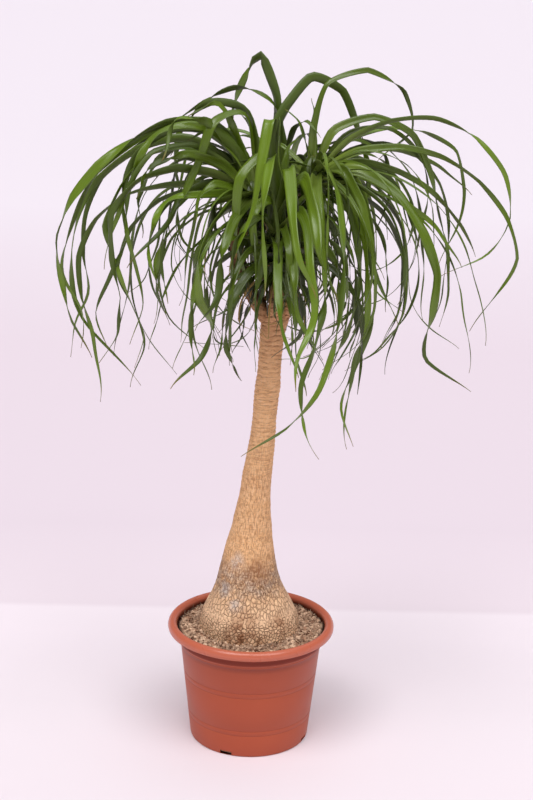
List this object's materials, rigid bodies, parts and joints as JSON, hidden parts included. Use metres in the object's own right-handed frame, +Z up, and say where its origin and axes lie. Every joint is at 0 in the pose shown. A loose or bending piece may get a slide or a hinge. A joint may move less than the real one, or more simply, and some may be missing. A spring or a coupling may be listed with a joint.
{
  "type": "potted ponytail palm",
  "caption": "Standard ponytail palm with a swollen corky trunk and a fountain of long strap leaves, standing in its round nursery container.",
  "frame": {"origin": "middle of the pot's flat underside, on the surface it stands on", "axes": "+Z up through the pot's axis, -Y to the front, +X to the right seen from the front"},
  "size_m": [0.8202, 0.7863, 1.2978],
  "materials": {
    "pot": "terracotta-coloured moulded plastic, satin, with a soft highlight on the curled rim",
    "soil": "dry grey-brown potting mix of bark chips, fibre and crumbs",
    "trunk": "tan corky bark, ring-scarred on the stem and cracked into small plates on the bulb",
    "foliage": "satin green strap leaves with fine lengthwise veins and paler yellow-green roots"
  },
  "bodies": {
    "root": {"pot": "pot", "soil": "soil", "trunk": "trunk", "foliage": "foliage"}
  },
  "joints": []
}
